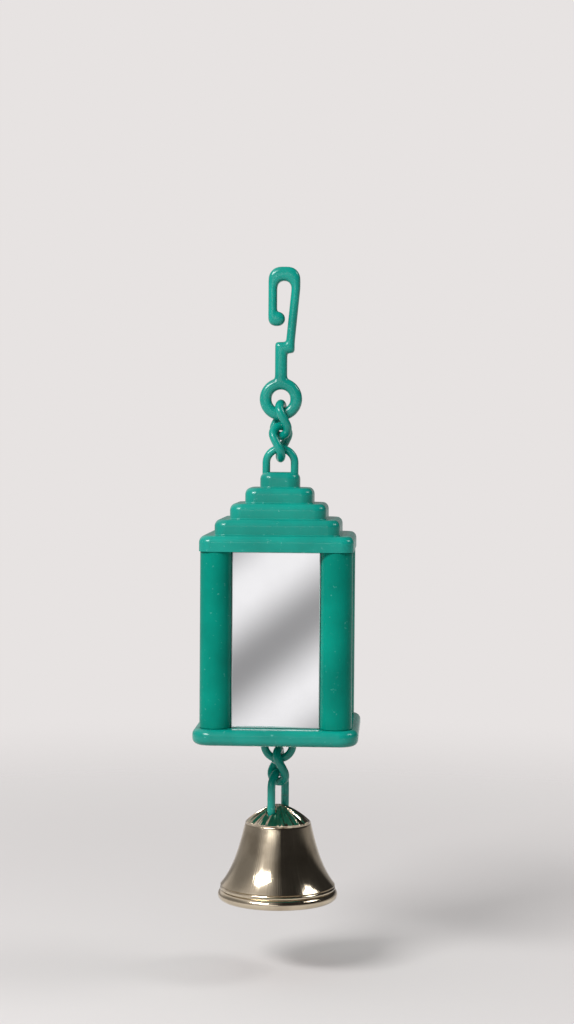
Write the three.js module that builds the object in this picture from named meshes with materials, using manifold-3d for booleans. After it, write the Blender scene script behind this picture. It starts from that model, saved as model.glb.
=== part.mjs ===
// Hanging mirror toy for a bird cage: a snap hook, a short chain, a square lantern with a mirror
// on each side under a stepped roof, and a bell below it.
// Millimetres, +Z up, front towards -Y. The origin is the seat inside the bend of the hook.

import * as THREE from "three";
import { mergeVertices } from "three/addons/utils/BufferGeometryUtils.js";
import Module from "manifold-3d";

const wasm = await Module();
wasm.setup();

// Fits
const HANG_GAP = 0.3; // between a bar and the bar that hangs on it
const SLIP_GAP = 0.25; // around a plate that drops into its recess
const PEG_GAP = 0.15; // around a peg in its bore
const BOND_LINE = 0.02; // adhesive film on each face of a pad
const ROOT = 1; // depth by which a moulded-on bar or peg roots in its wall

// Hook
const HOOK_DEPTH = 2.6; // front to back
const HOOK_ROUNDING = 0.8; // radius on its long edges
const HOOK_LEG = 1.75; // width of each leg
const HOOK_CROWN = 2.9; // thickness over the seat
const HOOK_CROWN_RADIUS = 2.6; // outer corners of the bend
const HOOK_SPAN = 3.3; // width between the legs
const HOOK_OFFSET = 0.6; // middle of the bend to the right of the stem
const HOOK_TIP = 8.4; // seat to the middle of the tip knob
const HOOK_KNOB = 1.5; // radius of the tip knob
const HOOK_MOUTH = 0.85; // gap between the knob and the long leg
const HOOK_REACH = 13.5; // seat to the top of the step
const HOOK_LEAN = 1.15; // sideways lean of the long leg over that reach
const HOOK_STEP = 2.3; // height of the step
const STEM_WIDTH = 2.5;
const STEM_LENGTH = 10.1; // step to the middle of the eye
const HOOK_EYE_BAR = 2.4; // width of the ring around the eye
const HOOK_EYE_PLAY = 2.5; // room in the eye beside the link

// Chain links
const LINK_BAR = 1.9; // thickness of the round bar
const LINK_SLACK = 0.3; // spare length inside a link
const LINK_PLAY = 0.8; // spare width inside a link
const LINK_TWIST = THREE.MathUtils.degToRad(60); // turn of the lower bend against the upper one
const LINK_SLIT = 0.3; // closing cut in the rear strand
const LINK_CROSSING = THREE.MathUtils.degToRad(80); // turn of each link against its carrier's bar

// Loops moulded on the roof and under the base
const LOOP_BAR = 1.7;
const LOOP_PLAY = 2.6; // width in the loop beside the link
const LOOP_RISE = 4.25; // clear height under the arch

// Roof
const TIER_COUNT = 5; // the eave is the lowest tier
const TIER_RISE = 3.35;
const TIER_RUN = 3.05; // width of each step
const TIER_ROUNDING = 1.5; // soft upper edge of each tier
const TIER_CORNER = 2.6; // corner radius seen from above
const EAVE_WIDTH = 33;
const ROOF_WALL = 1.5;

// Mirror frame
const EAVE_OVERHANG = 0.2; // eave beyond the columns
const COLUMN_DIAMETER = 6.8;
const COLUMN_HEIGHT = 37.8;
const FRAME_WALL = 1.3;
const PEG_DIAMETER = 2.6;
const PEG_LENGTH = 5;
const PEG_SPACE = 0.5; // empty end of each peg bore

// Mirrors
const MIRROR_RECESS = 2.7; // mirror face behind the front of the columns
const MIRROR_THICKNESS = 1.1;
const PAD_THICKNESS = 0.5;
const PAD_MARGIN = 2; // mirror edge to pad edge

// Base
const BASE_LEDGE = 1.45; // base beyond the columns
const BASE_HEIGHT = 3.5;
const BASE_ROUNDING = 1.4; // upper and lower edges
const BASE_CORNER = 4.2;
const BASE_FLOOR = 1.5; // thickness under the hollow of the lantern

// Bell
const BELL_RIM_RADIUS = 13.25;
const BELL_SHOULDER_RADIUS = 7.2;
const BELL_CROWN = 3.9; // height of the crown over the shoulder
const BELL_HEIGHT = 21;
const BELL_WALL = 0.8;
const BELL_BEAD = 1.15; // radius of the rolled rim
const BELL_CROWN_FLAT = 2.2; // nearly flat middle of the crown
const BELL_SHOULDER_ROUND = 1.6; // fullness of the shoulder
const BELL_WAIST = 1.2; // widening over the upper part of the side
const BELL_WAIST_REACH = 4.9; // height of that part
const BELL_FLARE = 3; // widening gathered over the lower part of the side
const BELL_FLARE_REACH = 3.7; // height of that part
const BEAD_START = THREE.MathUtils.degToRad(60); // where the rolled rim leaves the side
const HANGER_BAR = 1.8;
const HANGER_HALF_WIDTH = 3.2; // axis of the bell to the middle of each leg
const HANGER_RISE = 8; // top of the hanger over the crown
const HANGER_HOLE_PLAY = 0.6; // hole in the crown over the bar
const HANGER_CROSSING = THREE.MathUtils.degToRad(105); // turn of the hanger against the link's bar

// Clapper
const CLAPPER_WIRE = 1.1;
const CLAPPER_EYE_PLAY = 1; // room in the eye beside the hanger's bar
const CLAPPER_DROP = 10.8; // bar of the hanger to the middle of the ball
const CLAPPER_BALL = 6.5;
const CLAPPER_GRIP = 2.2; // depth of the wire in the ball

// Facets
const BAR_SIDES = 10;
const ROUND_SIDES = 24;
const BELL_SIDES = 36;
const BELL_CURVE_STEPS = 8;
const BEAD_STEPS = 5;
const LINK_STEPS = 26;
const ARC_SEGMENTS = 11;
const EDGE_SEGMENTS = 3;
const WELD = 1e-4;
const OVERRUN = 1; // reach of a cutter past the face that it opens

// Sizes that follow from the ones above
const linkInnerWidth = Math.max(HOOK_EYE_BAR, LINK_BAR, LOOP_BAR, HANGER_BAR) + LINK_PLAY;
const linkHalfWidth = (linkInnerWidth + LINK_BAR) / 2;
const linkInnerLength = Math.max(HOOK_EYE_BAR, LOOP_BAR) + LINK_BAR + 2 * HANG_GAP + LINK_SLACK;
const linkPitch = Math.max(linkInnerLength + LINK_BAR, 2 * linkHalfWidth);
const hookEyeRadius = (LINK_BAR + HOOK_EYE_PLAY) / 2;
const hookEyeZ = -(HOOK_REACH + HOOK_STEP + STEM_LENGTH);
const loopHalfWidth = (LINK_BAR + LOOP_PLAY + LOOP_BAR) / 2;
const loopTop = LOOP_RISE + LOOP_BAR / 2;
const frameHalf = EAVE_WIDTH / 2 - EAVE_OVERHANG;
const columnOffset = frameHalf - COLUMN_DIAMETER / 2;
const mirrorFace = frameHalf - MIRROR_RECESS;
const mirrorBack = mirrorFace - MIRROR_THICKNESS;
const padBack = mirrorBack - PAD_THICKNESS - 2 * BOND_LINE;
const coreHalf = padBack - FRAME_WALL;
const mirrorWidth = 2 * columnOffset - COLUMN_DIAMETER - 2 * SLIP_GAP;
const mirrorHeight = COLUMN_HEIGHT - 2 * SLIP_GAP;
const baseHalf = frameHalf + BASE_LEDGE;
const hangerTop = HANGER_RISE - HANGER_BAR / 2;
const hangerBottom = -BELL_WALL - HANGER_HALF_WIDTH;
const hangerHoleRadius = (HANGER_BAR + HANGER_HOLE_PLAY) / 2;
const clapperEyeRadius = (HANGER_BAR + CLAPPER_EYE_PLAY + CLAPPER_WIRE) / 2;

// A closed solid for boolean work from any closed geometry, without the flat triangles at a pole.
function solidOf(geometry) {
  const bare = geometry.clone();
  bare.deleteAttribute("normal");
  bare.deleteAttribute("uv");
  const welded = mergeVertices(bare, WELD);
  const index = welded.index.array;
  const triangles = [];
  for (let i = 0; i < index.length; i += 3) {
    const [a, b, c] = index.slice(i, i + 3);
    if (a !== b && b !== c && c !== a) {
      triangles.push(a, b, c);
    }
  }
  return new wasm.Manifold(
    new wasm.Mesh({
      numProp: 3,
      vertProperties: new Float32Array(welded.attributes.position.array),
      triVerts: new Uint32Array(triangles),
    }),
  );
}

function geometryOf(solid) {
  const mesh = solid.getMesh();
  const geometry = new THREE.BufferGeometry();
  geometry.setAttribute("position", new THREE.BufferAttribute(mesh.vertProperties, mesh.numProp));
  geometry.setIndex(new THREE.BufferAttribute(mesh.triVerts, 1));
  const flat = geometry.toNonIndexed();
  flat.computeVertexNormals();
  return flat;
}

function block(halfX, halfY, bottom, top) {
  const geometry = new THREE.BoxGeometry(2 * halfX, 2 * halfY, top - bottom);
  return solidOf(geometry.translate(0, 0, (bottom + top) / 2));
}

function upright(radius, x, y, bottom, top) {
  const geometry = new THREE.CylinderGeometry(radius, radius, top - bottom, ROUND_SIDES);
  return solidOf(geometry.rotateX(Math.PI / 2).translate(x, y, (bottom + top) / 2));
}

// The four corners at which the columns stand.
function corners() {
  const places = [];
  for (const x of [-columnOffset, columnOffset]) {
    for (const y of [-columnOffset, columnOffset]) {
      places.push([x, y]);
    }
  }
  return places;
}

// A square slab with round corners and soft upper and lower edges.
function softSlab(half, corner, rounding, bottom, top) {
  const shape = new THREE.Shape();
  const arm = half - corner;
  shape.absarc(arm, arm, corner, 0, Math.PI / 2, false);
  shape.absarc(-arm, arm, corner, Math.PI / 2, Math.PI, false);
  shape.absarc(-arm, -arm, corner, Math.PI, 1.5 * Math.PI, false);
  shape.absarc(arm, -arm, corner, 1.5 * Math.PI, 2 * Math.PI, false);
  shape.closePath();
  const geometry = new THREE.ExtrudeGeometry(shape, {
    depth: top - bottom - 2 * rounding,
    curveSegments: EDGE_SEGMENTS,
    bevelThickness: rounding,
    bevelSize: rounding,
    bevelOffset: -rounding,
    bevelSegments: EDGE_SEGMENTS,
  });
  return solidOf(geometry.translate(0, 0, bottom + rounding));
}

// A curve given by a function of its length share.
class BarPath extends THREE.Curve {
  constructor(pointAt) {
    super();
    this.pointAt = pointAt;
  }

  getPoint(share, target = new THREE.Vector3()) {
    return target.copy(this.pointAt(share));
  }
}

function roundBar(thickness, path, steps) {
  const section = new THREE.Shape();
  section.absarc(0, 0, thickness / 2, 0, 2 * Math.PI, false);
  return new THREE.ExtrudeGeometry(section, { steps, curveSegments: BAR_SIDES / 2, extrudePath: path });
}

// A long ring cut by a slit in one side, its upper bend along X and its lower bend turned by the twist.
// The ring is centred on the origin, and its pitch joins the middles of its two end bars.
function slitRing(thickness, halfWidth, pitch, twist) {
  const side = pitch - 2 * halfWidth;
  const bend = Math.PI * halfWidth;
  const whole = 2 * (side + bend);
  const pointAt = (share) => {
    let run = LINK_SLIT / 2 + share * (whole - LINK_SLIT);
    let x = halfWidth;
    let z = run;
    if (run > side / 2 + bend + side + bend) {
      z = run - whole;
    } else if (run > side / 2 + bend + side) {
      run -= side / 2 + bend + side;
      x = -halfWidth * Math.cos(run / halfWidth);
      z = -side / 2 - halfWidth * Math.sin(run / halfWidth);
    } else if (run > side / 2 + bend) {
      x = -halfWidth;
      z = side / 2 - (run - side / 2 - bend);
    } else if (run > side / 2) {
      run -= side / 2;
      x = halfWidth * Math.cos(run / halfWidth);
      z = side / 2 + halfWidth * Math.sin(run / halfWidth);
    }
    const turn = twist * THREE.MathUtils.smoothstep(pitch / 2 - z, 0, pitch);
    return new THREE.Vector3(x * Math.cos(turn), x * Math.sin(turn), z);
  };
  return roundBar(thickness, new BarPath(pointAt), LINK_STEPS);
}

// An arch in the XZ plane that stands on z = 0 and roots below it.
function archLoop() {
  const leg = loopTop - loopHalfWidth + ROOT;
  const bend = Math.PI * loopHalfWidth;
  const pointAt = (share) => {
    const run = share * (2 * leg + bend);
    if (run < leg) {
      return new THREE.Vector3(loopHalfWidth, 0, run - ROOT);
    }
    if (run > leg + bend) {
      return new THREE.Vector3(-loopHalfWidth, 0, 2 * leg + bend - run - ROOT);
    }
    const turn = (run - leg) / loopHalfWidth;
    const spring = leg - ROOT;
    return new THREE.Vector3(loopHalfWidth * Math.cos(turn), 0, spring + loopHalfWidth * Math.sin(turn));
  };
  return roundBar(LOOP_BAR, new BarPath(pointAt), LINK_STEPS);
}

// Hook: one flat moulding with round edges, its outline drawn in the XZ plane.
function hookGeometry() {
  const left = HOOK_OFFSET - HOOK_SPAN / 2;
  const right = HOOK_OFFSET + HOOK_SPAN / 2;
  const bend = HOOK_SPAN / 2;
  const slope = HOOK_LEAN / (HOOK_REACH - bend);
  const legAtTip = right - slope * (HOOK_TIP - bend);
  const heelX = left - HOOK_LEG + HOOK_KNOB;
  const knobX = legAtTip - HOOK_MOUTH - HOOK_KNOB;
  const knobMeet = Math.acos((left - knobX) / HOOK_KNOB);
  const stem = STEM_WIDTH / 2;
  const ring = hookEyeRadius + HOOK_EYE_BAR;
  const stemMeet = Math.asin(stem / ring);
  const step = -HOOK_REACH - HOOK_STEP;
  const shoulder = HOOK_CROWN - HOOK_CROWN_RADIUS;

  const shape = new THREE.Shape();
  shape.moveTo(left - HOOK_LEG, shoulder);
  shape.lineTo(left - HOOK_LEG, -HOOK_TIP);
  shape.absarc(heelX, -HOOK_TIP, HOOK_KNOB, Math.PI, 1.5 * Math.PI, false);
  shape.absarc(knobX, -HOOK_TIP, HOOK_KNOB, 1.5 * Math.PI, 2 * Math.PI + knobMeet, false);
  shape.lineTo(left, -bend);
  shape.absarc(HOOK_OFFSET, -bend, bend, Math.PI, 0, true);
  shape.lineTo(right - HOOK_LEAN, -HOOK_REACH);
  shape.lineTo(-stem, -HOOK_REACH);
  shape.absarc(0, hookEyeZ, ring, Math.PI / 2 + stemMeet, 2.5 * Math.PI - stemMeet, false);
  shape.lineTo(stem, step);
  shape.lineTo(right + HOOK_LEG - HOOK_LEAN, step);
  shape.lineTo(right + HOOK_LEG - HOOK_LEAN, -HOOK_REACH);
  shape.lineTo(right + HOOK_LEG, -bend);
  shape.lineTo(right + HOOK_LEG, shoulder);
  shape.absarc(right + HOOK_LEG - HOOK_CROWN_RADIUS, shoulder, HOOK_CROWN_RADIUS, 0, Math.PI / 2, false);
  shape.absarc(left - HOOK_LEG + HOOK_CROWN_RADIUS, shoulder, HOOK_CROWN_RADIUS, Math.PI / 2, Math.PI, false);

  const eye = new THREE.Path();
  eye.absarc(0, hookEyeZ, hookEyeRadius, 0, 2 * Math.PI, true);
  shape.holes.push(eye);

  const depth = HOOK_DEPTH - 2 * HOOK_ROUNDING;
  const geometry = new THREE.ExtrudeGeometry(shape, {
    depth,
    curveSegments: ARC_SEGMENTS,
    bevelThickness: HOOK_ROUNDING,
    bevelSize: HOOK_ROUNDING,
    bevelOffset: -HOOK_ROUNDING,
    bevelSegments: EDGE_SEGMENTS,
  });
  return geometry.translate(0, 0, -depth / 2).rotateX(Math.PI / 2);
}

function linkGeometry() {
  return slitRing(LINK_BAR, linkHalfWidth, linkPitch, LINK_TWIST);
}

// Roof: stepped shell with its underside on z = 0, a loop on the top tier and four pegs below.
function roofGeometry() {
  const tierHalf = (tier) => EAVE_WIDTH / 2 - tier * TIER_RUN;
  const tierTop = (tier) => (tier + 1) * TIER_RISE;
  const tierSlab = (tier) => {
    const bottom = tierTop(tier) - TIER_RISE - TIER_ROUNDING;
    return softSlab(tierHalf(tier), TIER_CORNER, TIER_ROUNDING, bottom, tierTop(tier));
  };
  let roof = tierSlab(0);
  for (let tier = 1; tier < TIER_COUNT; tier += 1) {
    roof = roof.add(tierSlab(tier));
  }
  for (let tier = 1; tier < TIER_COUNT - 1; tier += 1) {
    const half = Math.min(tierHalf(tier) - ROOF_WALL, coreHalf);
    roof = roof.subtract(block(half, half, -TIER_RISE, tierTop(tier) - ROOF_WALL));
  }
  roof = roof.subtract(block(EAVE_WIDTH, EAVE_WIDTH, -TIER_RISE, 0));
  roof = roof.add(solidOf(archLoop().translate(0, 0, tierTop(TIER_COUNT - 1))));
  for (const [x, y] of corners()) {
    roof = roof.add(upright(PEG_DIAMETER / 2, x, y, -PEG_LENGTH, ROOT));
  }
  return geometryOf(roof);
}

// Frame: four columns joined by thin walls behind the mirrors, standing on z = 0.
function frameGeometry() {
  let frame = block(padBack, padBack, 0, COLUMN_HEIGHT);
  for (const [x, y] of corners()) {
    frame = frame.add(upright(COLUMN_DIAMETER / 2, x, y, 0, COLUMN_HEIGHT));
  }
  frame = frame.subtract(block(coreHalf, coreHalf, -OVERRUN, COLUMN_HEIGHT + OVERRUN));
  const bore = PEG_DIAMETER / 2 + PEG_GAP;
  const depth = PEG_LENGTH + PEG_SPACE;
  for (const [x, y] of corners()) {
    frame = frame.subtract(upright(bore, x, y, -OVERRUN, depth));
    frame = frame.subtract(upright(bore, x, y, COLUMN_HEIGHT - depth, COLUMN_HEIGHT + OVERRUN));
  }
  return geometryOf(frame);
}

// Base: soft-edged tray with its upper face on z = 0, four pegs above and an eye below.
function baseGeometry() {
  let base = softSlab(baseHalf, BASE_CORNER, BASE_ROUNDING, -BASE_HEIGHT, 0);
  base = base.subtract(block(coreHalf, coreHalf, BASE_FLOOR - BASE_HEIGHT, OVERRUN));
  for (const [x, y] of corners()) {
    base = base.add(upright(PEG_DIAMETER / 2, x, y, -ROOT, PEG_LENGTH));
  }
  return geometryOf(base.add(solidOf(archLoop().rotateY(Math.PI).translate(0, 0, -BASE_HEIGHT))));
}

// Bell: turned shell with the top of its crown on z = 0 and two holes for the hanger.
function bellGeometry() {
  const lip = new THREE.Vector2(BELL_RIM_RADIUS - BELL_BEAD / 2, 2 * BELL_BEAD - BELL_HEIGHT);
  const shoulder = new THREE.Vector2(BELL_SHOULDER_RADIUS, -BELL_CROWN);
  const crown = new THREE.CubicBezierCurve(
    new THREE.Vector2(0, 0),
    new THREE.Vector2(BELL_CROWN_FLAT, 0),
    new THREE.Vector2(BELL_SHOULDER_RADIUS - BELL_SHOULDER_ROUND, BELL_SHOULDER_ROUND - BELL_CROWN),
    shoulder,
  );
  const waist = new THREE.CubicBezierCurve(
    shoulder,
    new THREE.Vector2(BELL_SHOULDER_RADIUS + BELL_WAIST, shoulder.y - BELL_WAIST_REACH),
    new THREE.Vector2(lip.x - BELL_FLARE, lip.y + BELL_FLARE_REACH),
    lip,
  );

  const outside = [];
  const inside = [];
  const follow = (curve, first) => {
    for (let step = first; step <= BELL_CURVE_STEPS; step += 1) {
      const point = curve.getPoint(step / BELL_CURVE_STEPS);
      const way = curve.getTangent(step / BELL_CURVE_STEPS);
      outside.push(point);
      inside.unshift(new THREE.Vector2(
        Math.max(0, point.x + way.y * BELL_WALL),
        point.y - way.x * BELL_WALL,
      ));
    }
  };
  follow(crown, 0);
  follow(waist, 1);

  const bead = new THREE.Path();
  const beadX = BELL_RIM_RADIUS - BELL_BEAD;
  bead.absarc(beadX, BELL_BEAD - BELL_HEIGHT, BELL_BEAD, BEAD_START, -Math.PI / 2, true);
  const profile = [...outside, ...bead.getPoints(BEAD_STEPS), ...inside];
  let bell = solidOf(new THREE.LatheGeometry(profile.reverse(), BELL_SIDES).rotateX(Math.PI / 2));
  for (const x of [-HANGER_HALF_WIDTH, HANGER_HALF_WIDTH]) {
    bell = bell.subtract(upright(hangerHoleRadius, x, 0, -BELL_CROWN, OVERRUN));
  }
  return geometryOf(bell);
}

// Hanger: a ring through both holes of the crown, in the frame of the bell, its slit to the rear.
function hangerGeometry() {
  const pitch = hangerTop - hangerBottom;
  const ring = slitRing(HANGER_BAR, HANGER_HALF_WIDTH, pitch, 0);
  return ring.rotateZ(Math.PI).translate(0, 0, (hangerTop + hangerBottom) / 2);
}

// Clapper wire: an eye around the hanger's lower bar, which is the origin, and a straight rod.
function clapperWireGeometry() {
  const eyeZ = HANGER_BAR / 2 + HANG_GAP + CLAPPER_WIRE / 2 - clapperEyeRadius;
  const eye = new THREE.TorusGeometry(clapperEyeRadius, CLAPPER_WIRE / 2, BAR_SIDES, ROUND_SIDES);
  const rodBottom = CLAPPER_BALL / 2 - CLAPPER_GRIP - CLAPPER_DROP;
  const rod = upright(CLAPPER_WIRE / 2, 0, 0, rodBottom, eyeZ - clapperEyeRadius);
  const ring = solidOf(eye.rotateX(Math.PI / 2).rotateZ(Math.PI / 2).translate(0, 0, eyeZ));
  return geometryOf(ring.add(rod));
}

function clapperBallGeometry() {
  const ball = new THREE.SphereGeometry(CLAPPER_BALL / 2, ROUND_SIDES, ROUND_SIDES / 2).rotateX(Math.PI / 2);
  const mouth = CLAPPER_BALL / 2 - CLAPPER_GRIP - PEG_GAP;
  const bore = upright(CLAPPER_WIRE / 2 + PEG_GAP, 0, 0, mouth, CLAPPER_BALL);
  return geometryOf(solidOf(ball).subtract(bore));
}

const FINISHES = {
  plastic: { color: "#058a7b", roughness: 0.3, metalness: 0 },
  mirror: { color: "#e4e6e8", roughness: 0.03, metalness: 1 },
  pad: { color: "#d9d6cc", roughness: 0.9, metalness: 0 },
  nickel: { color: "#b9b2a6", roughness: 0.12, metalness: 1 },
  steel: { color: "#8d8f92", roughness: 0.35, metalness: 1 },
};

function addPiece(parent, name, finish, geometry) {
  const piece = new THREE.Mesh(geometry, new THREE.MeshStandardMaterial(FINISHES[finish]));
  piece.name = name;
  parent.add(piece);
  return piece;
}

// A group at the middle of a bar, for all that hangs on it.
function hangOn(parent, z, turn) {
  const group = new THREE.Group();
  group.position.z = z;
  group.rotation.z = turn;
  parent.add(group);
  return group;
}

// Rise of a hung bar's middle over the middle of the bar that carries it.
function seatOver(carrier, hung) {
  return (carrier + hung) / 2 + HANG_GAP;
}

// Adds a link that hangs on a bar and gives the group at the link's own lower bar.
// A link looks the same after a half turn but for its slit, so the half turn picks the slit's side.
function addLink(parent, name, carrierBar, slitTurn) {
  const link = addPiece(parent, name, "plastic", linkGeometry());
  const top = seatOver(carrierBar, LINK_BAR);
  link.rotation.z = LINK_CROSSING + slitTurn;
  link.position.z = top - linkPitch / 2;
  return hangOn(parent, top - linkPitch, LINK_CROSSING + LINK_TWIST);
}

const toy = new THREE.Group();
addPiece(toy, "hanging_hook", "plastic", hookGeometry());

const hookBar = hangOn(toy, hookEyeZ - hookEyeRadius - HOOK_EYE_BAR / 2, 0);
const upperBar = addLink(hookBar, "upper_link", HOOK_EYE_BAR, 0);
const secondBar = addLink(upperBar, "upper_link_second", LINK_BAR, Math.PI);

const lantern = hangOn(secondBar, seatOver(LINK_BAR, LOOP_BAR) - loopTop, LINK_CROSSING);
const roofZ = -TIER_COUNT * TIER_RISE;
const frameZ = roofZ - COLUMN_HEIGHT;
addPiece(lantern, "roof", "plastic", roofGeometry()).position.z = roofZ;
addPiece(lantern, "mirror_frame", "plastic", frameGeometry()).position.z = frameZ;
addPiece(lantern, "base", "plastic", baseGeometry()).position.z = frameZ;

const sides = ["front", "right", "back", "left"];
sides.forEach((side, quarter) => {
  const face = hangOn(lantern, frameZ + COLUMN_HEIGHT / 2, (quarter * Math.PI) / 2);
  const plate = new THREE.BoxGeometry(mirrorWidth, MIRROR_THICKNESS, mirrorHeight);
  const padWidth = mirrorWidth - 2 * PAD_MARGIN;
  const pad = new THREE.BoxGeometry(padWidth, PAD_THICKNESS, mirrorHeight - 2 * PAD_MARGIN);
  addPiece(face, `mirror_${side}`, "mirror", plate).position.y = -(mirrorFace + mirrorBack) / 2;
  addPiece(face, `mirror_pad_${side}`, "pad", pad).position.y = -(mirrorBack + padBack) / 2;
});

const baseBar = hangOn(lantern, frameZ - BASE_HEIGHT - loopTop, 0);
const lowerBar = addLink(baseBar, "lower_link", LOOP_BAR, 0);
const bell = hangOn(lowerBar, seatOver(LINK_BAR, HANGER_BAR) - hangerTop, HANGER_CROSSING);
addPiece(bell, "bell_shell", "nickel", bellGeometry());
addPiece(bell, "bell_hanger", "plastic", hangerGeometry());

const hangerBar = hangOn(bell, hangerBottom, 0);
addPiece(hangerBar, "clapper_wire", "steel", clapperWireGeometry());
addPiece(hangerBar, "clapper_ball", "steel", clapperBallGeometry()).position.z = -CLAPPER_DROP;

export default toy;
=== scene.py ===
"""Looks of a hanging mirror toy, with each visible piece modelled over its solid in the frame."""

import math

import bmesh
import bpy
from bpy.props import FloatProperty, FloatVectorProperty, IntProperty, PointerProperty
from mathutils import Matrix, Vector
from mathutils.geometry import interpolate_bezier


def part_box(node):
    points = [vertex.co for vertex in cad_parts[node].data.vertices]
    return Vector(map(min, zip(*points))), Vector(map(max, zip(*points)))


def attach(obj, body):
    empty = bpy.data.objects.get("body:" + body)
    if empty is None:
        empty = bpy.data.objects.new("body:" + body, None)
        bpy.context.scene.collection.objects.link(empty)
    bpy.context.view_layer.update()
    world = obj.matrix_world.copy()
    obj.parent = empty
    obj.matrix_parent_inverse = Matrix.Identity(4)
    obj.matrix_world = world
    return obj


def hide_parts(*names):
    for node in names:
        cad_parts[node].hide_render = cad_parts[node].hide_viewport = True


bl_info = {
    "name": "Hanging Mirror Toy",
    "version": (1, 0, 0),
    "blender": (4, 5, 0),
    "location": "3D View > Sidebar > Mirror Toy",
    "description": "Models the pieces of a hanging mirror toy over its packed frame",
    "category": "Mesh",
}

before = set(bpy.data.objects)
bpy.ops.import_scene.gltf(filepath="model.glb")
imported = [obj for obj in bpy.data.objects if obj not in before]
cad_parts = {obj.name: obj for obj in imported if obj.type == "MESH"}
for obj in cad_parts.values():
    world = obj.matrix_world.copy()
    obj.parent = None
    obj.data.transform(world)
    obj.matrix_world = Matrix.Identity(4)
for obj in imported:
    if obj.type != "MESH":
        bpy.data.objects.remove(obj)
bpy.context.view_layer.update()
MM = 0.001
TINY = 1e-6
FLAT = 0.99  # share of a face's normal along an axis that it lies square to
SIDES = ("front", "right", "back", "left")
MIX_A, MIX_B, MIX_OUT = 6, 7, 2  # colour sockets of a Mix node
MATERIALS = {}


def linear(code):
    """Linear red, green and blue of an sRGB hex colour."""
    parts = [int(code[i:i + 2], 16) / 255 for i in (1, 3, 5)]
    return [p / 12.92 if p <= 0.04045 else ((p + 0.055) / 1.055) ** 2.4 for p in parts]


def length(name, description, millimetres):
    """A length property given in millimetres."""
    return FloatProperty(
        name=name,
        description=description,
        default=millimetres * MM,
        min=0,
        unit="LENGTH",
        precision=5,
    )


def angle(name, description, degrees):
    """An angle property given in degrees."""
    return FloatProperty(
        name=name, description=description, default=math.radians(degrees), subtype="ANGLE"
    )


def count(name, description, number):
    """A property that counts something."""
    return IntProperty(name=name, description=description, default=number, min=1)


def power(name, description, watts):
    """A lamp's power property."""
    return FloatProperty(name=name, description=description, default=watts, min=0, unit="POWER")


def tint(name, description, code):
    """A colour property given as an sRGB hex value."""
    return FloatVectorProperty(
        name=name, description=description, default=linear(code), min=0, max=1, subtype="COLOR"
    )


# Sizes and colours


class ToyChain(bpy.types.PropertyGroup):
    """Sizes of the hook, the links and the moulded loops."""

    skin: length("Skin", "Grain of the hook's smoothed surface", 0.13)
    hook_softness: count("Hook softness", "Smoothing passes over the hook", 100)
    hook_fullness: length("Hook fullness", "Swelling that makes good what the smoothing takes", 0.1)
    bar: length("Link bar", "Thickness of a link", 1.86)
    half_width: length("Link half width", "Middle of a link to the middle of its side", 2.55)
    twist: angle("Twist", "Turn of a link's lower bend against its upper one", 60)
    crossing: angle("Crossing", "Turn of each link against the bar that carries it", 80)
    hanger_crossing: angle("Hanger crossing", "Turn of the bell's hanger against its carrier", 105)
    slit: length("Slit", "Closing seam in the rear strand of a ring", 0.1)
    loop_bar: length("Loop bar", "Thickness of a moulded loop", 1.7)
    loop_half_width: length("Loop half width", "Middle of a loop to the middle of its leg", 3.1)
    loop_rise: length("Loop rise", "Height of a loop to the middle of its arch", 5.1)
    loop_root: length("Loop root", "Depth of a loop's legs in the wall", 0.8)


class ToyLantern(bpy.types.PropertyGroup):
    """Sizes of the roof, the frame, the mirrors and the base."""

    tiers: count("Tiers", "Steps of the roof, the eave included", 5)
    tier_rise: length("Tier rise", "Height of each step", 3.35)
    tier_run: length("Tier run", "Width of each step", 3.05)
    tier_rounding: length("Tier rounding", "Soft upper edge of each step", 1.5)
    tier_corner: length("Tier corner", "Corner radius of each step seen from above", 2.6)
    crease: length("Crease", "Fillet in the inner corner of each step", 0.25)
    core: length("Core", "Half width of the hollow inside the lantern", 10.66)
    roof_hollow: length("Roof hollow", "Height of the hollow in the roof", 5.2)
    column: length("Column", "Diameter of each corner column", 6.8)
    wall: length("Wall", "Half width of the walls behind the mirrors", 11.96)
    seam: length("Seam", "Broken edge at the ends of the columns", 0.22)
    mirror_edge: length("Mirror edge", "Ground edge around each mirror", 0.22)
    mirror_reach: length("Mirror reach", "Reach of each mirror into the play of its recess", 0.2)
    mirror_wave: length("Mirror wave", "Wave length of the warp in each mirror", 25)
    mirror_warp: length("Mirror warp", "Height of that wave", 0.2)
    mirror_phase: angle("Mirror phase", "Where that wave begins", 124)
    mirror_dish: length("Mirror dish", "How far the middle of each mirror lies back", 0.25)
    base_rounding: length("Base rounding", "Upper and lower edges of the base", 1.4)
    base_corner: length("Base corner", "Corner radius of the base seen from above", 4.2)
    base_floor: length("Base floor", "Thickness of the base under the hollow", 1.5)


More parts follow.
